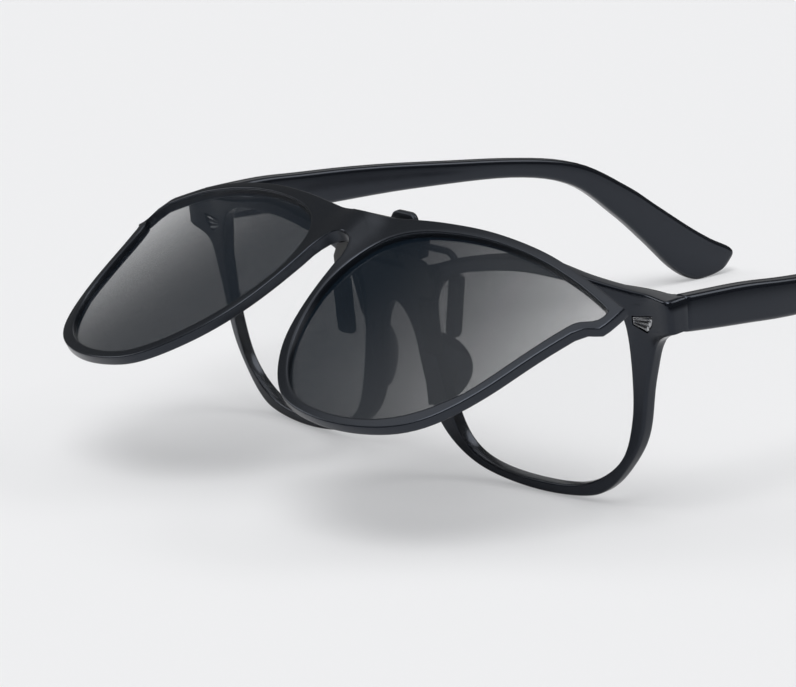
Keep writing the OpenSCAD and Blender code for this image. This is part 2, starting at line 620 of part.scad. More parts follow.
// Two turns round the claw pin, with one leg on the block and one on the lever
module claw_spring() color(steel) set_on() leaned() {
    coil_r = claw_pin_r + 0.42;
    turns = 2;
    steps = 30;
    x0 = ear_w / 2 + 0.3;
    pitch = (coil_w - 0.5) / steps;
    coil = [for (i = [0 : steps])
        let (a = 180 - 360 * turns * i / steps)
        [x0 + pitch * i, claw_y + coil_r * cos(a), claw_z + coil_r * sin(a)]];
    tube(concat([[x0, block_back + 0.3, claw_z - 2.6], [x0, block_back + 0.3, claw_z - 1.4]], coil,
                [[x0 + pitch * steps, claw_y - 1.2, claw_z + 1.4],
                 [x0 + pitch * steps, claw_y - 1.2, claw_z + 2.8]]), 0.16);
}
module thumb_lever() color(black) set_on() leaned() difference() {
    union() {
        for (x0 = [-cheek_end, cheek_x]) {
            bar(x0, x0 + cheek_end - cheek_x, claw_y, claw_z, 1.4);
            bar(x0, x0 + cheek_end - cheek_x, wire_y, wire_z, wire_r + 0.5);
            profile(x0, x0 + cheek_end - cheek_x, [[wire_y - wire_r - 0.5, wire_z - 2.4],
                [wire_y + wire_r + 0.3, wire_z - 2.4], [claw_y + 1.4, claw_z - 0.6],
                [claw_y + 1.4, claw_z + 0.2], [claw_y + 0.7, claw_z + 1.7],
                [claw_y - 0.9, claw_z + 1.7], [claw_y - 1.4, claw_z - 0.2]]);
        }
        profile(-thumb_w / 2, thumb_w / 2, [[claw_y - 0.9, claw_z + 1.5],
            [claw_y + 0.7, claw_z + 1.5], [claw_y + 0.4, thumb_z - 1], [claw_y + 0.6, thumb_z],
            [claw_y - 0.6, thumb_z], [claw_y - 0.8, thumb_z - 1]]);
    }
    bar(-10, 10, claw_y, claw_z, claw_pin_r + run_gap);
    both_sides() bar(cheek_x + 0.6, 12, wire_y, wire_z, wire_r + seat_gap);
}
// From the lever the wire runs out, bends and slants down to the sleeve's end
module claw_wire(s) color(steel) set_on() side(s) leaned() {
    bar(cheek_x + 0.7, claw_x - bend_r, wire_y, wire_z, wire_r);
    translate([claw_x - bend_r, wire_y, wire_z - bend_r]) {
        rotate([90, 0, 0]) rotate([0, 0, -leg_turn]) rotate_extrude(angle = 90 + leg_turn)
            translate([bend_r, 0]) circle(r = wire_r);
        rotate([0, leg_turn, 0]) translate([bend_r, 0, -leg_l]) cylinder(h = leg_l, r = wire_r);
    }
}
leg_l = (wire_z - bend_r - rear_end_z - sleeve_t) / cos(leg_turn);
module rear_sleeve(s) color(rubber) set_on() side(s) leaned()
    translate([claw_x - bend_r, wire_y, wire_z - bend_r]) rotate([0, leg_turn, 0])
        translate([bend_r, 0, -leg_l - sleeve_t]) difference() {
            cylinder(h = sleeve_l, r = wire_r + sleeve_t);
            translate([0, 0, sleeve_t - seat_gap]) cylinder(h = sleeve_l, r = wire_r + seat_gap);
        }

front_frame();
clear_lens(1);  // clear_lens_right
clear_lens(-1);  // clear_lens_left
plaque(1);  // plaque_right
plaque(-1);  // plaque_left
hinge_front_leaf(1);  // hinge_front_leaf_right
hinge_front_leaf(-1);  // hinge_front_leaf_left
hinge_temple_leaf(1);  // hinge_temple_leaf_right
hinge_temple_leaf(-1);  // hinge_temple_leaf_left
hinge_screw(1);  // hinge_screw_right
hinge_screw(-1);  // hinge_screw_left
temple(1);  // temple_right
temple(-1);  // temple_left
clip_frame();
tinted_lens(1);  // tinted_lens_right
tinted_lens(-1);  // tinted_lens_left
clip_bracket();
bracket_screws();
flip_pin();
clamp_block();
detent_spring();
front_prongs();
prong_rivets();
front_sleeve(1);  // front_sleeve_right
front_sleeve(-1);  // front_sleeve_left
claw_pin();
claw_spring();
thumb_lever();
claw_wire(1);  // claw_wire_right
claw_wire(-1);  // claw_wire_left
rear_sleeve(1);  // rear_sleeve_right
rear_sleeve(-1);  // rear_sleeve_left
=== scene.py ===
import math

import bmesh
import bpy
from mathutils import Matrix, Vector


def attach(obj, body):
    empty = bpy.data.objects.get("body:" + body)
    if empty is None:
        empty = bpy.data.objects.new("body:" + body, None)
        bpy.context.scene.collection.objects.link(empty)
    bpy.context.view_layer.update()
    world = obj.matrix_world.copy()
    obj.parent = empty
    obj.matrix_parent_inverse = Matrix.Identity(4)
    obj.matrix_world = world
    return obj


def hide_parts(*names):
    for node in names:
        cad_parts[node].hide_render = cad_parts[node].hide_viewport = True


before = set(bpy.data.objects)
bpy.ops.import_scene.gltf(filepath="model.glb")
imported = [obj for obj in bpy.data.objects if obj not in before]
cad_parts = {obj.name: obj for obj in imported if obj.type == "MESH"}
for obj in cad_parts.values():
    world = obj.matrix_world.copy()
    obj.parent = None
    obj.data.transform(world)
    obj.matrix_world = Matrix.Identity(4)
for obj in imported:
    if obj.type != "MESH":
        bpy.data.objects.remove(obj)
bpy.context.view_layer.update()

# All sizes are in millimetres until a point is placed, and they are those of the solids.
MM = 0.001
LEAN = math.radians(5)
MID_Y = 49.4462
WRAP_R = 303
FRONT_T = 2.6
FLIP_REST = math.radians(65.4)
FLIP_Y = -1.8
FLIP_Z = 48
CLIP_SET = -1.2
HALF_W = 69.5
SEAM_Y = 6.7
TEMPLE_RUN = 141
TEMPLE_T = 3.4
TEMPLE_TOP = 41.4
BOW = 1.2
TOE_IN = 4.8
# The temple hinge's axis, and the radius kept free round its barrels
HINGE_X, HINGE_Y, HINGE_Z, HINGE_ROOM = 65.3, 7.6, 38.6, 1.6
# The claw's wire leaves the lever at WIRE_Y, WIRE_Z and bends down at WIRE_X
WIRE_X, WIRE_Y, WIRE_Z, WIRE_BEND = 15.2, 4.54, 42.4, 2.8
WIRE_TURN = math.radians(13)
CLAW_Y, CLAW_Z = 5.04, 44.05


def wrap(x):
    return WRAP_R - math.sqrt(WRAP_R * WRAP_R - x * x)


def level(x, y, z):
    """A point of the upright drawing, in metres."""
    return Vector((x, y - MID_Y, z)) * MM


def lean(x, y, z):
    """A point of the leaned front's own drawing, in metres."""
    c, s = math.cos(LEAN), math.sin(LEAN)
    return level(x, y * c - z * s, y * s + z * c)


def swing(x, y, z):
    """A point of the clip-on, drawn folded down, in the flipped-up pose, in metres."""
    c, s = math.cos(FLIP_REST), math.sin(FLIP_REST)
    dy, dz = y - FLIP_Y, z - FLIP_Z
    return lean(x + CLIP_SET, FLIP_Y + dy * c + dz * s, FLIP_Z - dy * s + dz * c)


# ---- Curves -------------------------------------------------------------------------------


def curve_at(a, b, c, d, t):
    return 0.5 * (2 * b + (c - a) * t + (2 * a - 5 * b + 4 * c - d) * t * t
                  + (3 * b - a - 3 * c + d) * t ** 3)


def line_through(points, steps):
    p = [Vector(q) for q in points]
    out = []
    for i in range(len(p) - 1):
        a, b, c, d = p[max(i - 1, 0)], p[i], p[i + 1], p[min(i + 2, len(p) - 1)]
        out += [curve_at(a, b, c, d, k / steps) for k in range(steps)]
    return out + [p[-1]]


def loop_through(points, steps):
    p = [Vector(q) for q in points]
    m = len(p)
    return [curve_at(p[i - 1], p[i], p[(i + 1) % m], p[(i + 2) % m], k / steps)
            for i in range(m) for k in range(steps)]


def soften(points, times, closed=False):
    """Evens out an outline; the ends of an open one stay."""
    for _ in range(times):
        after = points[1:] + points[:1]
        before = points[-1:] + points[:-1]
        eased = [0.5 * b + 0.25 * (a + c) for a, b, c in zip(before, points, after)]
        points = eased if closed else [points[0]] + eased[1:-1] + [points[-1]]
    return points


def sideways(before, after):
    """Unit vector to the left of the way from before to after."""
    way = (after - before).normalized()
    return Vector((-way.y, way.x))


def smooth(low, high, value):
    t = min(1, max(0, (value - low) / (high - low)))
    return t * t * (3 - 2 * t)


class Track:
    """A closed outline that is read by distance along it."""

    def __init__(self, points):
        self.points = points
        self.at = [0]
        for i in range(len(points)):
            self.at.append(self.at[-1] + (points[(i + 1) % len(points)] - points[i]).length)
        self.total = self.at[-1]

    def point(self, s):
        s %= self.total
        low, high = 0, len(self.points)
        while high - low > 1:
            mid = (low + high) // 2
            low, high = (mid, high) if self.at[mid] <= s else (low, mid)
        a, b = self.points[low], self.points[(low + 1) % len(self.points)]
        return a.lerp(b, (s - self.at[low]) / (self.at[low + 1] - self.at[low]))

    def nearest(self, p):
        best = min(range(len(self.points)), key=lambda i: (self.points[i] - p).length_squared)
        return self.at[best]


# ---- Mesh helpers -------------------------------------------------------------------------


def face_outward(bm):
    bmesh.ops.recalc_face_normals(bm, faces=bm.faces)
    if bm.calc_volume(signed=True) < 0:
        bmesh.ops.reverse_faces(bm, faces=bm.faces)


def make_piece(name, bm, body, finish, sharp=35):
    mesh = bpy.data.meshes.new(name)
    face_outward(bm)
    bm.to_mesh(mesh)
    bm.free()
    piece = bpy.data.objects.new(name, mesh)
    bpy.context.scene.collection.objects.link(piece)
    mesh.shade_smooth()
    mesh.set_sharp_from_angle(angle=math.radians(sharp))
    mesh.materials.append(finish)
    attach(piece, body)
    return piece


def loft(bm, rings, closed=True, caps=False):
    """Quads between rings of points; caps closes the two ends with a fan."""
    made = [[bm.verts.new(p) for p in ring] for ring in rings]
    n = len(rings[0])
    for a, b in zip(made, made[1:] + (made[:1] if closed else [])):
        for j in range(n):
            bm.faces.new((a[j], a[(j + 1) % n], b[(j + 1) % n], b[j]))
    if caps:
        for ring in (made[0], made[-1]):
            middle = bm.verts.new(sum((v.co for v in ring), Vector()) / n)
            for j in range(n):
                bm.faces.new((ring[j], ring[(j + 1) % n], middle))
    return made


def quarter(radius, steps=4):
    """Inset and depth along a rounded edge, from the face to the wall."""
    turns = [k * math.pi / 2 / steps for k in range(steps + 1)]
    return [(radius * (1 - math.sin(a)), radius * (1 - math.cos(a))) for a in turns]


class Rim:
    """Half of a front: columns that join an outer edge, or the middle of the bridge, to the
    edge of the lens opening. Edge starts at the top of the bridge and ends at its arch."""

    def __init__(self, edge, opening, bridge_steps=6, relax=40):
        self.edge = edge
        arch, top = edge[-1], edge[0]
        self.seam = [arch.lerp(top, k / bridge_steps) for k in range(1, bridge_steps)]
        beyond = [Vector((-edge[1].x, edge[1].y))] + edge + [Vector((-edge[-2].x, edge[-2].y))]
        self.edge_way = [sideways(beyond[i], beyond[i + 2]) for i in range(len(edge))]
        self.count = len(edge) + len(self.seam)
        track = Track(opening)
        spots = [track.nearest(p) for p in edge + self.seam]
        forward = sum((spots[i] - spots[i - 1] + track.total / 2) % track.total
                      - track.total / 2 for i in range(len(spots))) > 0
        self.turn = 1 if forward else -1
        run = [spots[0]]
        for s in spots[1:]:
            step = (self.turn * (s - run[-1]) + track.total / 2) % track.total - track.total / 2
            run.append(run[-1] + self.turn * max(step, 0.02))
        for _ in range(relax):
            ahead = run[1:] + [run[0] + self.turn * track.total]
            behind = [run[-1] - self.turn * track.total] + run[:-1]
            run = [0.5 * b + 0.25 * (a + c) for a, b, c in zip(behind, run, ahead)]
        self.inner = [track.point(s) for s in run]
        n = self.count
        self.inner_way = [sideways(self.inner[i - 1], self.inner[(i + 1) % n]) for i in range(n)]

    def outer_at(self, inset, grow=None):
        scale = grow or (lambda p: 1)
        cut = [p - w * inset * scale(p) for p, w in zip(self.edge, self.edge_way)]
        return cut + self.seam

    def inner_at(self, inset):
        return [p + w * inset for p, w in zip(self.inner, self.inner_way)]

    def is_bridge(self, j):
        """True where the column and the next one end at the middle of the bridge."""
        last = len(self.edge) - 1
        return j >= last


def half_front(bm, rim, rings, place):
    """rings: (kind, points, depths). Kind "edge" is left out across the bridge."""
    for side in (1, -1):
        made = [[bm.verts.new(place(side * p.x, d, p.y)) for p, d in zip(points, depths)]
                for kind, points, depths in rings]
        n = rim.count
        for i in range(len(rings)):
            k = (i + 1) % len(rings)
            for j in range(n):
                if rim.is_bridge(j) and "edge" in (rings[i][0], rings[k][0]):
                    continue
                quad = (made[i][j], made[i][(j + 1) % n], made[k][(j + 1) % n], made[k][j])
                bm.faces.new(quad if side > 0 else quad[::-1])
    loose = [v for v in bm.verts if not v.link_faces]
    bmesh.ops.delete(bm, geom=loose, context="VERTS")
    bmesh.ops.remove_doubles(bm, verts=bm.verts, dist=1e-7)


# ---- Materials ----------------------------------------------------------------------------


def linear(code):
    """sRGB hex to linear colour."""
    parts = [int(code[i:i + 2], 16) / 255 for i in (1, 3, 5)]
    return [v / 12.92 if v <= 0.04045 else ((v + 0.055) / 1.055) ** 2.4 for v in parts] + [1]


def add(tree, kind, links=(), **settings):
    """A node with its settings; links are (input, other node's output or a plain value)."""
    node = tree.nodes.new(kind)
    for key, value in settings.items():
        if key in node.bl_rna.properties:
            setattr(node, key, value)
        else:
            node.inputs[key.replace("_", " ")].default_value = value
    for name, source in links:
        if isinstance(source, bpy.types.NodeSocket):
            tree.links.new(source, node.inputs[name])
        else:
            node.inputs[name].default_value = source
    return node


def finish_of(name, colour, rough, **shader):
    """A principled material with its object coordinates ready for a pattern."""
    made = bpy.data.materials.new(name)
    made.use_nodes = True
    tree = made.node_tree
    bsdf = tree.nodes["Principled BSDF"]
    bsdf.inputs["Base Color"].default_value = linear(colour)
    bsdf.inputs["Roughness"].default_value = rough
    for key, value in shader.items():
        bsdf.inputs[key.replace("_", " ")].default_value = value
    where = add(tree, "ShaderNodeTexCoord").outputs["Object"]
    return made, tree, bsdf, where


def mottled(made, noise, colours):
    """The base colour drifts between two close ones with a noise."""
    material, tree, bsdf, where = made
    tint = add(tree, "ShaderNodeMix", [("Factor", noise.outputs["Fac"])], data_type="RGBA")
    tint.inputs["A"].default_value = linear(colours[0])
    tint.inputs["B"].default_value = linear(colours[1])
    tree.links.new(tint.outputs["Result"], bsdf.inputs["Base Color"])


def grained(made, grain_mm, bump_mm, rough_low, rough_high, colours=None):
    """Moulding texture: a fine bump and a slight change of gloss and colour."""
    material, tree, bsdf, where = made
    grain = add(tree, "ShaderNodeTexNoise", [("Vector", where)], Scale=1 / (grain_mm * MM),
                Detail=3.0)
    broad = add(tree, "ShaderNodeTexNoise", [("Vector", where)], Scale=1 / (BROAD_MM * MM),
                Detail=2.0)
    bump = add(tree, "ShaderNodeBump", [("Height", grain.outputs["Fac"])],
               Strength=1.0, Distance=bump_mm * MM)
    rough = add(tree, "ShaderNodeMapRange", [("Value", broad.outputs["Fac"]),
                                             ("To Min", rough_low), ("To Max", rough_high)])
    tree.links.new(rough.outputs["Result"], bsdf.inputs["Roughness"])
    tree.links.new(bump.outputs["Normal"], bsdf.inputs["Normal"])
    if colours:
        mottled(made, broad, colours)
    return material


# The studio light is a little cooler on gloss than on the paper; this is painted into the black
# finishes as a cool tint of their reflections
PAINTED_COOL_GLOSS = linear("#e2ecff")
# Polishing leaves broad, faint changes of gloss about this far apart
BROAD_MM = 14

# Tumble-polished black cellulose acetate: deep black with a soft sheen on its edges
acetate = grained(finish_of("black_acetate", "#0e1116", 0.2, IOR=1.48, Specular_Tint=PAINTED_COOL_GLOSS),
                  0.35, 0.0008, 0.14, 0.22, ("#0c0f14", "#11141a"))
# Injection-moulded nylon of the clip-on: a little greyer, satin
nylon = grained(finish_of("satin_black_nylon", "#101318", 0.26, IOR=1.53, Specular_Tint=PAINTED_COOL_GLOSS),
                0.25, 0.001, 0.2, 0.28, ("#0e1115", "#13161b"))
# Polycarbonate mechanism, moulded matt, so that it takes no crisp highlight
mechanism = grained(finish_of("matt_black_polycarbonate", "#0f1114", 0.4, IOR=1.5,
                              Specular_Tint=PAINTED_COOL_GLOSS), 0.2, 0.002, 0.34, 0.44)
# Silicone sleeves: dull and slightly grippy
rubber = grained(finish_of("black_silicone_rubber", "#0c0d0f", 0.6, IOR=1.41),
                 0.15, 0.003, 0.55, 0.7)
# Spring steel under black lacquer: dark, with the gloss of the lacquer
lacquer = grained(finish_of("black_lacquered_spring_steel", "#0d0f12", 0.3, IOR=1.5),
                  0.3, 0.001, 0.26, 0.34)
# Polished nickel silver plaque: bright ridges
nickel = grained(finish_of("polished_nickel_silver", "#a9aaad", 0.2, Metallic=1.0),
                 0.12, 0.001, 0.16, 0.26, ("#a2a3a6", "#b0b1b4"))
# Plain turned and stamped steel of the temple hinges and their screws
steel = grained(finish_of("turned_steel", "#8f9194", 0.3, Metallic=1.0),
                0.1, 0.001, 0.26, 0.36, ("#888a8d", "#97999c"))

# Painted light: the lenses let more through towards the upper temple corner, standing in for
# the light the near lens catches there. It runs along |x| plus a share of y, between these places;
# the share of light let through is LEAST at the lower nose side, and MOST more at the upper temple
# corner
PAINTED_LIGHT_LEAN, PAINTED_LIGHT_FROM, PAINTED_LIGHT_TO, PAINTED_LIGHT_CURVE = 0.35, -8, 42, 2.5
LEAST, MOST = 0.05, 0.42


def lens_with_painted_light(name, colour, veil, rough, gloss):
    """A lens as a dyed, polished film: what it lets through is its transparency. Painted light:
    it lets more through towards the upper temple corner than at the lower nose side, a painted
    brightening for the light the lens catches there. The light passes two faces, so each takes
    the root of its share."""
    dyed = finish_of(name, colour, rough, IOR=1.5, Specular_IOR_Level=gloss)
    made, tree, bsdf, where = dyed
    mottled(dyed, add(tree, "ShaderNodeTexNoise", [("Vector", where)], Scale=1 / (30 * MM),
                      Detail=1.0), (colour, veil))
    apart = add(tree, "ShaderNodeSeparateXYZ", [("Vector", where)])
    out = add(tree, "ShaderNodeMath", [(0, apart.outputs["X"])], operation="ABSOLUTE").outputs[0]
    slope = add(tree, "ShaderNodeMath", [(0, apart.outputs["Y"]), (1, PAINTED_LIGHT_LEAN), (2, out)],
                operation="MULTIPLY_ADD").outputs[0]
    painted_lift = add(tree, "ShaderNodeMapRange", [("Value", slope), ("From Min", PAINTED_LIGHT_FROM * MM),
                                            ("From Max", PAINTED_LIGHT_TO * MM)]).outputs[0]
    curve = add(tree, "ShaderNodeMath", [(0, painted_lift), (1, PAINTED_LIGHT_CURVE)],
                operation="POWER").outputs[0]
    through = add(tree, "ShaderNodeMath", [(0, curve), (1, MOST), (2, LEAST)],
                  operation="MULTIPLY_ADD").outputs[0]
    face = add(tree, "ShaderNodeMath", [(0, through), (1, 0.5)], operation="POWER").outputs[0]
    hold = add(tree, "ShaderNodeMath", [(0, 1), (1, face)], operation="SUBTRACT").outputs[0]
    tree.links.new(hold, bsdf.inputs["Alpha"])
    return made


# Smoke grey polarised film of the clip-on's lenses, with a slight blue cast; painted light makes it
# lighter towards the upper temple corners
smoke = lens_with_painted_light("smoke_grey_film_painted_light", "#101922", "#141f29", 0.03, 0.4)
# Clear polished polymer of the frame's own lenses: nearly unseen but for its gloss
polished = finish_of("clear_polymer_lens", "#f4f7f8", 0.04, IOR=1.5, Alpha=0.03)
clear, tree, bsdf, where = polished
mottled(polished, add(tree, "ShaderNodeTexNoise", [("Vector", where)], Scale=1 / (40 * MM)),
        ("#f0f4f6", "#f6f8f9"))


# ---- The front frame ----------------------------------------------------------------------

EYE_W, EYE_H, EYE_X, EYE_Z = 48.8, 40.6, 33.8, 22.4
EYE_TOP = EYE_Z + EYE_H / 2
BRIDGE_TOP = EYE_TOP - 3.2
ARCH_Z = BRIDGE_TOP - 7.4
RIM_X = EYE_X + EYE_W / 2 + 2.9
NOSE_X = 18.8 / 2 - 4.2
END_BOTTOM = TEMPLE_TOP - 5.6

EYE_SHAPE = [(0.995, 0), (1, 0.5), (0.94, 0.78), (0.74, 0.93), (0.4, 0.985), (0, 1),
             (-0.4, 0.93), (-0.74, 0.83), (-0.95, 0.6), (-0.985, 0.3), (-0.96, 0),
             (-0.84, -0.55), (-0.69, -0.82), (-0.42, -0.955), (0, -1), (0.45, -0.965),
             (0.82, -0.7), (0.95, -0.33)]
eye = soften(loop_through([(EYE_X + x * EYE_W / 2, EYE_Z + z * EYE_H / 2)
                           for x, z in EYE_SHAPE], 12), 24, closed=True)
brow = line_through([(0, BRIDGE_TOP), (8.1, BRIDGE_TOP + 0.3), (18.2, EYE_TOP + 0.1),
                     (EYE_X - 3.7, EYE_TOP + 2.5), (EYE_X + 5.5, EYE_TOP + 2.8),
                     (EYE_X + 16, EYE_TOP + 0.7), (59.7, EYE_TOP - 0.7), (67, TEMPLE_TOP + 0.1),
                     (68.6, TEMPLE_TOP), (69.25, TEMPLE_TOP - 0.4),
                     (HALF_W, TEMPLE_TOP - 1.2)], 6)
under = line_through([(HALF_W, END_BOTTOM - 0.6), (66.9, END_BOTTOM - 1.5),
                      (RIM_X + 3, END_BOTTOM - 3.6), (RIM_X + 1.4, EYE_Z + 5), (RIM_X, EYE_Z),
                      (RIM_X - 1.9, EYE_Z - 9), (EYE_X + 20.5, EYE_Z - 16),
                      (EYE_X + 16.6, EYE_Z - 19.7), (EYE_X + 11.7, EYE_Z - 21.8),
                      (EYE_X, EYE_Z - 22.4), (EYE_X - 12.2, EYE_Z - 20.8),
                      (NOSE_X + 9.4, EYE_Z - 17.9), (NOSE_X + 4.4, EYE_Z - 13.4),
                      (NOSE_X + 1.4, EYE_Z - 6.9), (NOSE_X, EYE_Z + 1.5),
                      (NOSE_X - 1, ARCH_Z - 4.4), (NOSE_X - 3, ARCH_Z - 1.2), (0, ARCH_Z)], 6)
under = soften(under, 6)
side_of_end = [under[0].lerp(brow[-1], k / 4) for k in (3, 2, 1)]
front_rim = Rim(brow + side_of_end + under, eye)


def end_share(x, z):
    """1 on the end piece, 0 on the rim."""
    return smooth(56, 62.5, x) * smooth(31, 34.5, z)


def face_at(x, z):
    """The front follows the wrap, and the end piece comes forward at its corner."""
    return wrap(x) - 1.9 * smooth(62, 69.3, x) * smooth(30, 35, z)


def back_at(x, z):
    rim_back = wrap(x) + FRONT_T
    seam = (SEAM_Y - 0.1 + z * math.sin(LEAN)) / math.cos(LEAN)
    return rim_back + (max(seam, rim_back) - rim_back) * end_share(x, z)


def place_front(x, y, z):
    """The top of the end block falls away a little towards the hinge."""
    behind = max(0, y - wrap(x) - FRONT_T)
    return lean(x, y, z - 0.2 * behind * smooth(37, 41, z))


def front_section():
    """Rings round the section of the front: opening, face, outer wall and back."""
    edge_r, inner_r, back_r = 0.5, 0.4, 0.5
    rings = []

    def corner(p):
        """The end piece's own corner is rounder than the rest of the edge."""
        return 1 + 0.9 * smooth(HALF_W - 1.6, HALF_W - 0.1, p.x) * smooth(33, 36, p.y)

    def ring(kind, points, depth_of):
        rings.append((kind, points, [depth_of(p) for p in points]))

    def face(p):
        return face_at(p.x, p.y)

    def back(p):
        return back_at(p.x, p.y)

    opening, outer_at = front_rim.inner_at, front_rim.outer_at
    for inset, depth in reversed(quarter(inner_r, 3)):
        ring("opening", opening(inset), lambda p: face(p) + depth)
    for share in (0.2, 0.5, 0.8):
        ring("face", [a.lerp(b, share) for a, b in zip(opening(inner_r),
                                                       outer_at(edge_r, corner))], face)
    scales = [corner(p) for p in front_rim.edge] + [1] * len(front_rim.seam)
    for step, (inset, depth) in enumerate(quarter(edge_r, 5)):
        points = outer_at(inset, corner)
        rings.append(("edge" if step else "face", points,
                      [face(p) + depth * k for p, k in zip(points, scales)]))
    wall = outer_at(0, corner)
    for share in (0.33, 0.67):
        depths = []
        for p, k in zip(wall, scales):
            a, b = face(p) + edge_r * k, back(p) - back_r / k
            depths.append(a + (b - a) * share)
        rings.append(("edge", wall, depths))
    turns = quarter(back_r, 3)
    for inset, depth in reversed(turns):
        points = outer_at(inset, lambda p: 1 / corner(p))
        rings.append(("face" if inset == turns[0][0] else "edge", points,
                      [back(p) - depth / k for p, k in zip(points, scales)]))
    for share in (0.15, 0.3, 0.5, 0.7, 0.85):
        ring("face", [a.lerp(b, share) for a, b in zip(points, opening(back_r))], back)
    for inset, depth in turns:
        ring("opening", opening(inset), lambda p: back(p) - depth)
    return rings


def cylinder_cutter(x, y, low, high, radius):
    bm = bmesh.new()
    ring = [level(x + radius * math.cos(a), y + radius * math.sin(a), low)
            for a in [k * math.tau / 40 for k in range(40)]]
    loft(bm, [ring, [p + Vector((0, 0, (high - low) * MM)) for p in ring]], closed=False,
         caps=True)
    return bm


def block_cutter(low, high):
    bm = bmesh.new()
    bmesh.ops.create_cube(bm, size=1)
    for v in bm.verts:
        v.co = level(*[a + (b - a) * (c + 0.5) for a, b, c in zip(low, high, v.co)])
    return bm


def cut_away(piece, cutters):
    """Takes closed shapes out of a piece, and keeps the result as its mesh."""
    for bm in cutters:
        face_outward(bm)
        mesh = bpy.data.meshes.new("cutter")
        bm.to_mesh(mesh)
        bm.free()
        cutter = bpy.data.objects.new("cutter", mesh)
        bpy.context.scene.collection.objects.link(cutter)
        cut = piece.modifiers.new("cut", "BOOLEAN")
        cut.operation, cut.object, cut.solver = "DIFFERENCE", cutter, "MANIFOLD"
        bpy.context.view_layer.update()
        done = bpy.data.meshes.new_from_object(
            piece.evaluated_get(bpy.context.evaluated_depsgraph_get()))
        piece.modifiers.clear()
        old, piece.data = piece.data, done
        bpy.data.meshes.remove(old)
        bpy.data.objects.remove(cutter)
        bpy.data.meshes.remove(mesh)
    piece.data.shade_smooth()
    piece.data.set_sharp_from_angle(angle=math.radians(32))


PLAQUE_X, PLAQUE_Z, PLAQUE_L = RIM_X - 1.3, EYE_TOP - 6.2, 4.2
plaque_turn = math.asin((PLAQUE_X + PLAQUE_L / 2) / WRAP_R)


def plaque_point(side, along, up, proud):
    """A point on the plaque, in its own plane on the wrapped front."""
    c, s = math.cos(plaque_turn), math.sin(plaque_turn)
    return lean(side * (PLAQUE_X + along * c + proud * s),
                wrap(PLAQUE_X) + along * s - proud * c, PLAQUE_Z + up)


def plaque_slab(outline, side, low, high):
    bm = bmesh.new()
    loft(bm, [[plaque_point(side, a, u, h) for a, u in outline] for h in (low, high)],
         closed=False, caps=True)
    return bm


PLAQUE = [(0, -0.62), (2.9, -1.72), (3.95, -0.42), (4.25, 1.05), (0, 0.62)]
RECESS = [(-0.3, -0.85), (2.95, -2.1), (4.3, -0.55), (4.62, 1.4), (-0.3, 0.9)]


def make_front():
    bm = bmesh.new()
    half_front(bm, front_rim, front_section(), place_front)
    piece = make_piece("front_frame_moulding", bm, "front", acetate)
    cutters = []
    for side in (1, -1):
        cutters.append(cylinder_cutter(side * HINGE_X, HINGE_Y, 30, 48, HINGE_ROOM))
        x0, x1 = sorted((side * (HINGE_X - 5.2), side * HINGE_X))
        cutters.append(block_cutter((x0, 5.85, HINGE_Z - 2.5), (x1, 9, HINGE_Z + 2.45)))
        cutters.append(plaque_slab(RECESS, side, -0.32, 1.5))
    cut_away(piece, cutters)
    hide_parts("front_frame")


def make_nose_pads():
    """Each pad is a thin ear that grows out of the rim's back and turns outward."""
    for side, tag in ((1, "right"), (-1, "left")):
        bm = bmesh.new()
        low, height, reach, turn = EYE_Z - 9.8, 14, 9, math.radians(24)
        rows = 22
        rings = []
        for i in range(rows + 1):
            t = i / rows
            z = low + height * t
            bulge = max(0, math.sin(math.pi * t)) ** 0.55
            out = reach * (0.18 + 0.80 * bulge) * (1 - 0.22 * t)
            thick = 1.0 + 0.42 * math.sin(math.pi * t)
            ring = []
            for k in range(20):
                a = k * math.tau / 20
                along = out / 2 - 0.8 + (out / 2 + 0.8) * math.copysign(abs(math.cos(a)) ** 0.8,
                                                                      math.cos(a))
                across = thick * math.copysign(abs(math.sin(a)) ** 0.9, math.sin(a))
                across *= 1 - 0.25 * smooth(0.5, 1, along / max(out, 0.1))
                across *= 1 if 0 < i < rows else 0.35
                px = NOSE_X + 2.6 + along * math.sin(turn) + across * math.cos(turn)
                py = 1.2 + along * math.cos(turn) - across * math.sin(turn)
                ring.append(lean(side * px, py, z))
            rings.append(ring)
        loft(bm, rings, closed=False, caps=True)
        pad = make_piece("nose_pad_" + tag, bm, "front", acetate, sharp=60)


def make_clear_lenses():
    for side, tag in ((1, "right"), (-1, "left")):
        bm = bmesh.new()
        centre = Vector((EYE_X, EYE_Z))
        rows = (1.012, 1.0, 0.985, 0.93, 0.8, 0.6, 0.4, 0.2)
        front_y, back_y = 0.1, 2.5
        rings = [[lean(side * p.x, wrap(p.x) + (front_y + back_y) / 2, p.y)
                  for p in [centre.lerp(q, 1.02) for q in eye[::2]]]]
        for face in (front_y, back_y):
            part = []
            for share in rows:
                points = [centre.lerp(q, share) for q in eye[::2]]
                part.append([lean(side * p.x, wrap(p.x) + face, p.y) for p in points])
            rings = rings + part if face == front_y else rings[::-1] + part
        loft(bm, rings, closed=False, caps=True)
        lens = make_piece("clear_lens_shell_" + tag, bm, "front", clear, sharp=50)
        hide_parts("clear_lens_" + tag)


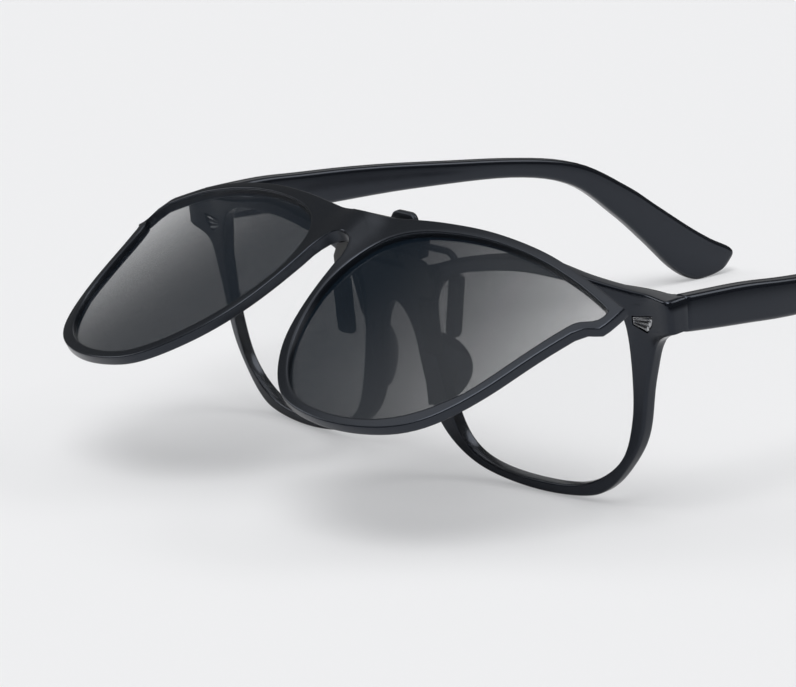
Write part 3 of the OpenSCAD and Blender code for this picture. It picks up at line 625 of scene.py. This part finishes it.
def make_plaques():
    for side, tag in ((1, "right"), (-1, "left")):
        bm = bmesh.new()
        loft(bm, [[plaque_point(side, a, u, h) for a, u in PLAQUE] for h in (-0.45, -0.02)],
             closed=False, caps=True)
        spans = [((-0.56, -1.62), (-0.22, -0.62)), ((-0.17, -0.52), (0.18, 0.3)),
                 ((0.22, 0.4), (0.56, 1.0))]
        ends = (3.35, 3.85, 4.15)
        for ((l0, l1), (h0, h1)), end in zip(spans, ends):
            def wedge(along, low, high, proud):
                mid = (low + high) / 2
                return [plaque_point(side, along, u, d) for u, d in
                        ((low, -0.1), (low + 0.06, proud * 0.6), (mid, proud),
                         (high - 0.06, proud * 0.6), (high, -0.1))]
            rings = [wedge(0.08, l0, h0, 0.05), wedge(0.4, l0 * 0.9 + l1 * 0.1,
                                                     h0 * 0.9 + h1 * 0.1, 0.26),
                     wedge(end - 0.3, l1, h1, 0.34), wedge(end, l1 * 0.97, h1 * 0.97, 0.08)]
            loft(bm, rings, closed=False, caps=True)
        plaque = make_piece("ridged_plaque_" + tag, bm, "front", nickel, sharp=25)
        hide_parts("plaque_" + tag)


# ---- Temples ------------------------------------------------------------------------------

bow_line = line_through(
    [(HALF_W + out * BOW - toe * TOE_IN, SEAM_Y + run * TEMPLE_RUN)
     for run, out, toe in ((0, 0, 0), (0.08, 0.6, 0), (0.2, 1, 0), (0.35, 0.8, 0.16),
                           (0.5, 0.35, 0.45), (0.7, 0, 0.72), (0.85, 0, 0.86), (1.02, 0, 1))], 8)


def outer_x(y):
    """Outer side of the temple at a distance behind the front."""
    for a, b in zip(bow_line, bow_line[1:]):
        if y <= b.y:
            return a.x + (b.x - a.x) * (y - a.y) / (b.y - a.y)
    return bow_line[-1].x


# Upper and lower ends of each rib: share of the run and height of each
RIBS = [(0, 41.4, 0, 35.8), (0.1, 41.11, 0.1, 34.61), (0.19, 40.03, 0.19, 33.63),
        (0.37, 38.17, 0.37, 32.97), (0.555, 35.31, 0.555, 31.21), (0.683, 31.5, 0.672, 26.9),
        (0.78, 24.3, 0.758, 18.2), (0.84, 18.55, 0.82, 10.5), (0.905, 12.3, 0.872, 3.6),
        (0.95, 8.4, 0.912, 0.25), (0.985, 5.9, 0.945, 0.12), (0.998, 4.3, 0.975, 0.95)]


def make_temples():
    ribs = line_through(RIBS, 6)
    for side, tag in ((1, "right"), (-1, "left")):
        rings = []
        for i, (top_run, top_z, low_run, low_z) in enumerate(ribs):
            steps = [(0, 0.45), (0.12, 0.2), (0.45, 0)] if i == 0 else [(0, 0)]
            tip = max(0, i - len(ribs) + 5) / 4
            # The temple is a little deeper at its root than the solid
            raised = top_z + 0.8 * (1 - smooth(0.2, 0.5, top_run))
            dropped = low_z - 0.4 * (1 - smooth(0, 0.2, low_run))
            for shift, inset in steps:
                top = Vector((SEAM_Y + top_run * TEMPLE_RUN + shift, raised))
                low = Vector((SEAM_Y + low_run * TEMPLE_RUN + shift, dropped))
                rings.append(temple_ring(side, top, low, inset + 0.9 * tip ** 3))
        bm = bmesh.new()
        loft(bm, rings, closed=False, caps=True)
        piece = make_piece("temple_moulding_" + tag, bm, tag + "_temple", acetate, sharp=50)
        cut_away(piece, [cylinder_cutter(side * HINGE_X, HINGE_Y, 28, 50, HINGE_ROOM)])
        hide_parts("temple_" + tag)


def temple_ring(side, top, low, inset):
    """A rounded slab between the upper and lower edge, crowned on its outer face."""
    height = (top - low).length
    up = (top - low).normalized()
    middle = (top + low) / 2
    half_h, half_t = height / 2 - inset, TEMPLE_T / 2 - inset * 0.6
    corner = min(1.05, half_h * 0.9, half_t * 0.9)
    ring = []
    for cx, cz, a0 in ((1, 1, 0), (-1, 1, 90), (-1, -1, 180), (1, -1, 270)):
        for k in range(6):
            a = math.radians(a0 + k * 18)
            t = cx * (half_t - corner) + corner * math.cos(a)
            h = cz * (half_h - corner) + corner * math.sin(a)
            place = middle + up * h
            x = outer_x(place.x) - TEMPLE_T / 2 + t
            ring.append(level(side * x, place.x, place.y))
    return ring


# ---- The clip-on --------------------------------------------------------------------------

CLIP_REF = 48.2
CLIP_FACE, CLIP_BACK = -4.5, -2.5
CLIP_ARCH = -7.2
# The wall round the lens stands this much further out than the solid's
WALL_OUT = 0.7
clip_edge = line_through([(0, -1.2), (5, -0.9), (10, -0.1), (20, 1.6), (32, 2.7), (45, 2.1),
                          (57, -0.5), (66.8, -3.1)], 8)
clip_edge += [Vector(p) for p in ((66.75, -4.6), (66.6, -6.1), (66.4, -7.7), (66, -9.2),
                                  (65.2, -9.7), (64.4, -10.1), (63.6, -10.45))]
clip_edge += soften(line_through([(62.3, -12.4), (60.8, -18), (58, -30), (51.5, -43),
                                  (39.5, -48.5), (28, -48.8), (19.6, -45.8), (11, -36.2),
                                  (6.6, -25), (4.9, -15)], 8), 12)
clip_edge += [Vector(p) for p in ((4.7, -12.4), (4.2, -10.6), (3.4, -9), (2.4, -7.9),
                                  (1.2, -7.35), (0, CLIP_ARCH))]
clip_opening = line_through([(8.6, -9.2), (13.4, -4.6), (20, -1.9), (32, 0), (45, -0.5),
                             (56, -3), (63.9, -5.5)], 8)
clip_opening += [Vector(p) for p in ((63.9, -6.1), (63.8, -6.8), (63.4, -7.4), (62.6, -7.9),
                                     (61.8, -8.4), (61, -9.0))]
clip_opening += soften(line_through([(60.3, -9.7), (58.6, -15), (55.6, -29), (49.6, -41.2),
                                     (39, -46.1), (28.4, -46.4), (21.4, -43.8), (13.2, -34.6),
                                     (8.9, -24), (7.4, -15)], 8), 12)
for _ in range(24):
    # The nose side is evened out; the notch at the temple keeps its corners
    eased = soften(clip_opening, 1, closed=True)
    clip_opening = [e if p.x < 54 else p for e, p in zip(eased, clip_opening)]
clip_rim = Rim(clip_edge, clip_opening, relax=14)


def clip_face_at(x, z):
    """The clip-on's face swells forward over the bridge."""
    return CLIP_FACE + wrap(x) - 0.9 * (1 - smooth(0, 8.2, abs(x)))


def clip_back_at(x, z):
    return CLIP_BACK + wrap(x)


def place_clip(x, y, z):
    """The clip-on's outline in space. It is a little askew, as in the photo: the left tip is
    drawn in and lower, and the right edge reaches out."""
    drawn = smooth(-14, -6, z)
    out = smooth(36, 66, x) * smooth(-26, -8, z)
    return swing(x + 0.5 * max(0, -x - 60.5) * drawn + 1.5 * out, y,
                 z - 2.0 * smooth(50, 66, -x) * drawn + CLIP_REF)


def make_clip_frame():
    edge_r, back_r, lens_r = 0.28, 0.3, 0.25
    rings = []

    def ring(kind, points, depth, base=clip_face_at, way=1):
        rings.append((kind, points, [base(p.x, p.y) + way * depth for p in points]))

    # From the lens up a steep wall to the crest, then the flat, crisp-edged face
    for inset, depth in ((0, 1.45), (0.03, 0.8), (0.08, 0.3), (0.14, 0.06), (0.24, -0.07),
                         (0.38, -0.13), (0.55, -0.15)):
        ring("opening", clip_rim.inner_at(inset + WALL_OUT), depth)
    crest, slope_end = clip_rim.inner_at(0.8 + WALL_OUT), clip_rim.outer_at(edge_r)
    for share in (0, 0.35, 0.7):
        ring("face", [a.lerp(b, share) for a, b in zip(crest, slope_end)], -0.15 + 0.1 * share)
    for step, (inset, depth) in enumerate(quarter(edge_r, 4)):
        ring("edge" if step else "face", clip_rim.outer_at(inset), -0.04 + depth)
    wall = clip_rim.outer_at(0)
    for share in (0.35, 0.7):
        rings.append(("edge", wall, [(clip_face_at(p.x, p.y) + edge_r - 0.04) * (1 - share)
                                     + (clip_back_at(p.x, p.y) - back_r) * share
                                     for p in wall]))
    turns = quarter(back_r, 3)
    for inset, depth in reversed(turns):
        ring("face" if inset == turns[0][0] else "edge", clip_rim.outer_at(inset), depth,
             clip_back_at, -1)
    outer_back, inner_back = clip_rim.outer_at(back_r), clip_rim.inner_at(lens_r + WALL_OUT)
    for share in (0.33, 0.67):
        ring("face", [a.lerp(b, share) for a, b in zip(outer_back, inner_back)], 0,
             clip_back_at, -1)
    for inset, depth in quarter(lens_r, 3):
        ring("opening", clip_rim.inner_at(inset + WALL_OUT), depth, clip_back_at, -1)
    bm = bmesh.new()
    half_front(bm, clip_rim, rings, place_clip)
    piece = make_piece("clip_on_frame_moulding", bm, "clip_on", nylon, sharp=38)
    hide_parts("clip_frame")


def make_tinted_lenses():
    grown = clip_rim.inner_at(0.5 + WALL_OUT)
    centre = Vector((33, -22))
    deeper, half_t = 0.42, 0.28
    middle = (CLIP_FACE + CLIP_BACK) / 2 + deeper
    for side, tag in ((1, "right"), (-1, "left")):
        bm = bmesh.new()
        rings = []
        for way in (-1, 1):
            part = [[place_clip(side * p.x, middle + way * half_t + wrap(p.x), p.y)
                     for p in [centre.lerp(q, share) for q in grown]]
                    for share in (1, 0.99, 0.95, 0.85, 0.7, 0.5, 0.3, 0.12)]
            rings = part[::-1] if way < 0 else rings + part
        loft(bm, rings, closed=False, caps=True)
        lens = make_piece("tinted_lens_shell_" + tag, bm, "clip_on", smoke, sharp=50)
        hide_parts("tinted_lens_" + tag)


# ---- The clamp ----------------------------------------------------------------------------


def sleeve(name, body, node, start, end, width, depth, side):
    """A rubber sleeve with a rounded tip, from its open end down to its tip."""
    bm = bmesh.new()
    length = (end - start).length
    down = (end - start).normalized()
    across = Vector((1, 0, 0)) - down * down.x
    across.normalize()
    out = down.cross(across)
    rings = []
    tip = min(width, depth) / 2
    spots = [(0, 0.86), (0.05, 0.97), (0.25, 1)]
    spots += [(length - tip + tip * math.sin(a), math.cos(a))
              for a in [math.radians(v) for v in (0, 20, 40, 58, 72, 83)]]
    for along, share in spots:
        ring = []
        for k in range(24):
            a = k * math.tau / 24
            u = math.copysign(abs(math.cos(a)) ** 0.7, math.cos(a)) * (
                width / 2 - tip * (1 - share))
            v = math.copysign(abs(math.sin(a)) ** 0.7, math.sin(a)) * depth / 2 * share
            p = start + down * along + across * u + out * v
            ring.append(lean(side * p.x + CLIP_SET, p.y, p.z))
        rings.append(ring)
    loft(bm, rings, closed=False, caps=True)
    piece = make_piece(name, bm, body, rubber, sharp=60)
    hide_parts(node)


def make_sleeves():
    for side, tag in ((1, "right"), (-1, "left")):
        low, length = 23.6, 11
        front_y0, front_y1 = -2.25, wrap(9.1) - 0.08
        mid = (front_y0 + front_y1) / 2
        sleeve("front_sleeve_cap_" + tag, "clamp", "front_sleeve_" + tag,
               Vector((12.5, mid, low + length)), Vector((12.5, mid, low)), 4.4,
               front_y1 - front_y0, side)
        down, outward = math.cos(WIRE_TURN), math.sin(WIRE_TURN)
        leg = (WIRE_Z - WIRE_BEND - 26.1 - 0.7) / down
        foot = (Vector((WIRE_X - WIRE_BEND, WIRE_Y, WIRE_Z - WIRE_BEND))
                + Vector((WIRE_BEND * down, 0, -WIRE_BEND * outward)))
        way = Vector((-outward, 0, -down))
        end = foot + way * (leg + 0.7)
        sleeve("rear_sleeve_cap_" + tag, "claw", "rear_sleeve_" + tag, end - way * 12.6, end, 3,
               2.6, side)


def make_wires():
    """Round wire from the lever out over the brow and down to the sleeve."""
    radius = 0.66
    for side, tag in ((1, "right"), (-1, "left")):
        path = [Vector((3.0 + k * 1.5, WIRE_Y, WIRE_Z)) for k in range(6)]
        centre = Vector((WIRE_X - WIRE_BEND, WIRE_Y, WIRE_Z - WIRE_BEND))
        for k in range(9):
            a = math.pi / 2 - (math.pi / 2 + WIRE_TURN) * k / 8
            path.append(centre + Vector((math.cos(a), 0, math.sin(a))) * WIRE_BEND)
        way = Vector((-math.sin(WIRE_TURN), 0, -math.cos(WIRE_TURN)))
        path += [path[-1] + way * d for d in (3, 6, 9, 12)]
        bm = bmesh.new()
        rings = []
        for i, p in enumerate(path):
            ahead = (path[min(i + 1, len(path) - 1)] - path[max(i - 1, 0)]).normalized()
            up = Vector((0, 1, 0))
            out = ahead.cross(up)
            rings.append([lean(side * q.x + CLIP_SET, q.y, q.z) for q in
                          [p + (up * math.cos(a) + out * math.sin(a)) * radius
                           for a in [k * math.tau / 16 for k in range(16)]]])
        loft(bm, rings, closed=False, caps=True)
        wire = make_piece("claw_arm_" + tag, bm, "claw", lacquer, sharp=50)
        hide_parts("claw_wire_" + tag)


def make_thumb_lever():
    """Two cheeks on the claw pin, joined by a thumb tab with rounded corners."""
    cheek_x, cheek_end = 2.3, 6.2
    cheek = [(WIRE_Y - 1.1, WIRE_Z - 2.4), (WIRE_Y + 0.9, WIRE_Z - 2.4),
             (CLAW_Y + 1.4, CLAW_Z - 0.6), (CLAW_Y + 1.4, CLAW_Z + 0.4),
             (CLAW_Y + 0.9, CLAW_Z + 1.3), (CLAW_Y + 0.2, CLAW_Z + 1.7),
             (CLAW_Y - 0.9, CLAW_Z + 1.5), (CLAW_Y - 1.4, CLAW_Z + 0.4),
             (CLAW_Y - 1.4, CLAW_Z - 0.2)]
    bm = bmesh.new()
    for low in (-cheek_end, cheek_x):
        high = low + cheek_end - cheek_x
        rings = []
        for x, inset in ((low, 0.15), (low + 0.15, 0), (high - 0.15, 0), (high, 0.15)):
            rings.append([lean(x + CLIP_SET, CLAW_Y + (y - CLAW_Y) * (1 - inset / 1.5),
                               CLAW_Z + (z - CLAW_Z) * (1 - inset / 1.5)) for y, z in cheek])
        loft(bm, rings, closed=False, caps=True)
    half, foot, top, round_r = 3.5, CLAW_Z + 1.3, 47.9, 1.9
    # The tab stands this far behind the pin, clear of the spring's leg when the claw opens
    tab_back = 0.55
    outline = [(-half + 0.9, foot), (half - 0.9, foot), (half, foot + 1.2)]
    for cx, a0 in ((1, 0), (-1, 90)):
        for k in range(7):
            a = math.radians(a0 + 15 * k)
            outline.append((cx * (half - round_r) + round_r * math.cos(a),
                            top - round_r + round_r * math.sin(a)))
    outline.append((-half, foot + 1.2))
    middle = (foot + top) / 2
    rings = []
    for y, inset in ((-0.72, 0.45), (-0.6, 0.15), (-0.4, 0), (0.4, 0), (0.6, 0.15), (0.72, 0.45)):
        rings.append([lean(x * (1 - inset / half) + CLIP_SET,
                           CLAW_Y + tab_back + y + 0.12 * (z - foot),
                           middle + (z - middle) * (1 - inset / 2)) for x, z in outline])
    loft(bm, rings, closed=False, caps=True)
    lever = make_piece("thumb_lever_cap", bm, "claw", mechanism, sharp=60)
    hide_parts("thumb_lever")


def dress_nodes():
    """The small solids that stay get their finish and a moulded or stamped edge, in mm."""
    looks = {"hinge_front_leaf_": (steel, 0.08), "hinge_temple_leaf_": (steel, 0.08),
             "hinge_screw_": (steel, 0.05), "clip_bracket": (lacquer, 0.1),
             "bracket_screws": (lacquer, 0.05), "flip_pin": (lacquer, 0.08),
             "clamp_block": (mechanism, 0.22), "detent_spring": (lacquer, 0.04),
             "front_prongs": (lacquer, 0.12), "prong_rivets": (lacquer, 0.08),
             "claw_pin": (lacquer, 0.06), "claw_spring": (lacquer, 0)}
    for node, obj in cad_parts.items():
        for start, (finish, width) in looks.items():
            if node.startswith(start):
                obj.data.materials.clear()
                obj.data.materials.append(finish)
                if width:
                    weld = obj.modifiers.new("weld", "WELD")
                    weld.merge_threshold = 0.002 * MM
                    edge = obj.modifiers.new("edge", "BEVEL")
                    edge.width, edge.segments = width * MM, 3
                    edge.limit_method, edge.angle_limit = "ANGLE", math.radians(35)
                    edge.harden_normals = False


# ---- Stage --------------------------------------------------------------------------------


def make_floor():
    bm = bmesh.new()
    bmesh.ops.create_grid(bm, x_segments=8, y_segments=8, size=4)
    mesh = bpy.data.meshes.new("paper_floor")
    bm.to_mesh(mesh)
    bm.free()
    floor = bpy.data.objects.new("paper_floor", mesh)
    bpy.context.scene.collection.objects.link(floor)
    # Matt seamless studio paper
    paper, tree, bsdf, where = finish_of("studio_paper", "#f3f3f4", 0.9, IOR=1.3)
    bsdf.inputs["Specular IOR Level"].default_value = 0.1
    fibre = add(tree, "ShaderNodeTexNoise", [("Vector", where)], Scale=1 / (1.2 * MM), Detail=2.0)
    bump = add(tree, "ShaderNodeBump", [("Height", fibre.outputs["Fac"])], Strength=0.3,
               Distance=0.02 * MM)
    tree.links.new(bump.outputs["Normal"], bsdf.inputs["Normal"])
    # Painted shade: a little way off, the paper turns dark grey for every ray but the camera's, so
    # the gloss of the frame sees a dim room there
    away = add(tree, "ShaderNodeVectorMath", [(0, where)], operation="LENGTH").outputs["Value"]
    edge = add(tree, "ShaderNodeMapRange", [("Value", away), ("From Min", 0.2), ("From Max", 0.42)],
               interpolation_type="SMOOTHSTEP").outputs[0]
    path = add(tree, "ShaderNodeLightPath")
    other = add(tree, "ShaderNodeMath", [(0, 1), (1, path.outputs["Is Camera Ray"])],
                operation="SUBTRACT").outputs[0]
    end = add(tree, "ShaderNodeMath", [(0, edge), (1, other)], operation="MULTIPLY").outputs[0]
    paper_and_painted_dimness = add(tree, "ShaderNodeMix", [("Factor", end)], data_type="RGBA")
    paper_and_painted_dimness.inputs["A"].default_value = linear("#f3f3f4")
    paper_and_painted_dimness.inputs["B"].default_value = linear("#3c3d40")
    tree.links.new(paper_and_painted_dimness.outputs["Result"], bsdf.inputs["Base Color"])
    # The camera sees part of the paper's paleness as it is, and the shadow in the rest
    glow = add(tree, "ShaderNodeEmission", Color=linear("#eeeff1"), Strength=1.0)
    share = add(tree, "ShaderNodeMath", [(0, path.outputs["Is Camera Ray"]), (1, 0.42)],
                operation="MULTIPLY")
    both = add(tree, "ShaderNodeMixShader", [(0, share.outputs["Value"]),
                                             (1, bsdf.outputs["BSDF"]),
                                             (2, glow.outputs["Emission"])])
    tree.links.new(both.outputs["Shader"], tree.nodes["Material Output"].inputs["Surface"])
    mesh.materials.append(paper)


def make_light():
    """A soft box overhead with a halo, two strips and a faint sweep, in a dim room. The camera
    and what is seen through a lens get the pale backdrop instead."""
    world = bpy.data.worlds.new("studio")
    bpy.context.scene.world = world
    world.use_nodes = True
    tree = world.node_tree
    tree.nodes.clear()
    where = add(tree, "ShaderNodeTexCoord").outputs["Generated"]

    def patch(toward, low, high, dim, bright):
        """Light that grows from dim to bright between two cosines round a direction."""
        near = add(tree, "ShaderNodeVectorMath", [(0, where)], operation="DOT_PRODUCT")
        near.inputs[1].default_value = Vector(toward).normalized()
        amount = add(tree, "ShaderNodeMapRange", [("Value", near.outputs["Value"]),
                                                  ("From Min", low), ("From Max", high),
                                                  ("To Min", dim), ("To Max", bright)],
                     interpolation_type="SMOOTHSTEP")
        return amount.outputs["Result"]

    patches = [patch((0.28, -0.4, 1), 0.93, 0.985, 0.12, 5.75),
               patch((-0.15, -0.05, 1), 0.8, 0.95, 0, 1.0),
               patch((-0.74, -0.42, 0.53), 0.955, 0.985, 0, 2.6),
               patch((0.3, 0.63, 0.71), 0.955, 0.985, 0, 2.6),
               patch((-0.6, 0.66, 0.45), 0.95, 0.99, 0, 0.4)]
    light = patches[0]
    for more in patches[1:]:
        light = add(tree, "ShaderNodeMath", [(0, light), (1, more)], operation="ADD").outputs[0]
    path = add(tree, "ShaderNodeLightPath")
    room = add(tree, "ShaderNodeBackground", [("Strength", light)], Color=linear("#ffffff"))
    pale = add(tree, "ShaderNodeBackground", Color=linear("#eeeff1"), Strength=1.0)
    seen = add(tree, "ShaderNodeMath", [(0, path.outputs["Is Camera Ray"]),
                                        (1, path.outputs["Is Transmission Ray"])],
               operation="MAXIMUM")
    both = add(tree, "ShaderNodeMixShader", [(0, seen.outputs["Value"]),
                                             (1, room.outputs["Background"]),
                                             (2, pale.outputs["Background"])])
    add(tree, "ShaderNodeOutputWorld", [("Surface", both.outputs["Shader"])])


def make_camera():
    """The photo's view: a long lens, a little above, from the side called right here."""
    azimuth, height, roll = [math.radians(v) for v in (49.855, 14.417, -2.268)]
    back = Vector((math.sin(azimuth) * math.cos(height), -math.cos(azimuth) * math.cos(height),
                   math.sin(height)))
    right = Vector((math.cos(azimuth), math.sin(azimuth), 0))
    up = right.cross(-back)
    across = right * math.cos(roll) + up * math.sin(roll)
    rise = up * math.cos(roll) - right * math.sin(roll)
    data = bpy.data.cameras.new("photo_camera")
    data.lens, data.sensor_width = 215.6, 36
    data.clip_start, data.clip_end = 0.05, 20
    camera = bpy.data.objects.new("photo_camera", data)
    bpy.context.scene.collection.objects.link(camera)
    aim, distance = Vector((-3.885, -48.446, 22.151)) * MM, 906.2 * MM
    turn = Matrix((across, rise, back)).transposed().to_4x4()
    camera.matrix_world = Matrix.Translation(aim + back * distance) @ turn
    bpy.context.scene.camera = camera


bpy.context.scene.view_settings.view_transform = "Standard"
make_camera()
make_light()
make_floor()
make_front()
make_nose_pads()
make_clear_lenses()
make_plaques()
make_temples()
make_clip_frame()
make_tinted_lenses()
make_sleeves()
make_wires()
make_thumb_lever()
dress_nodes()
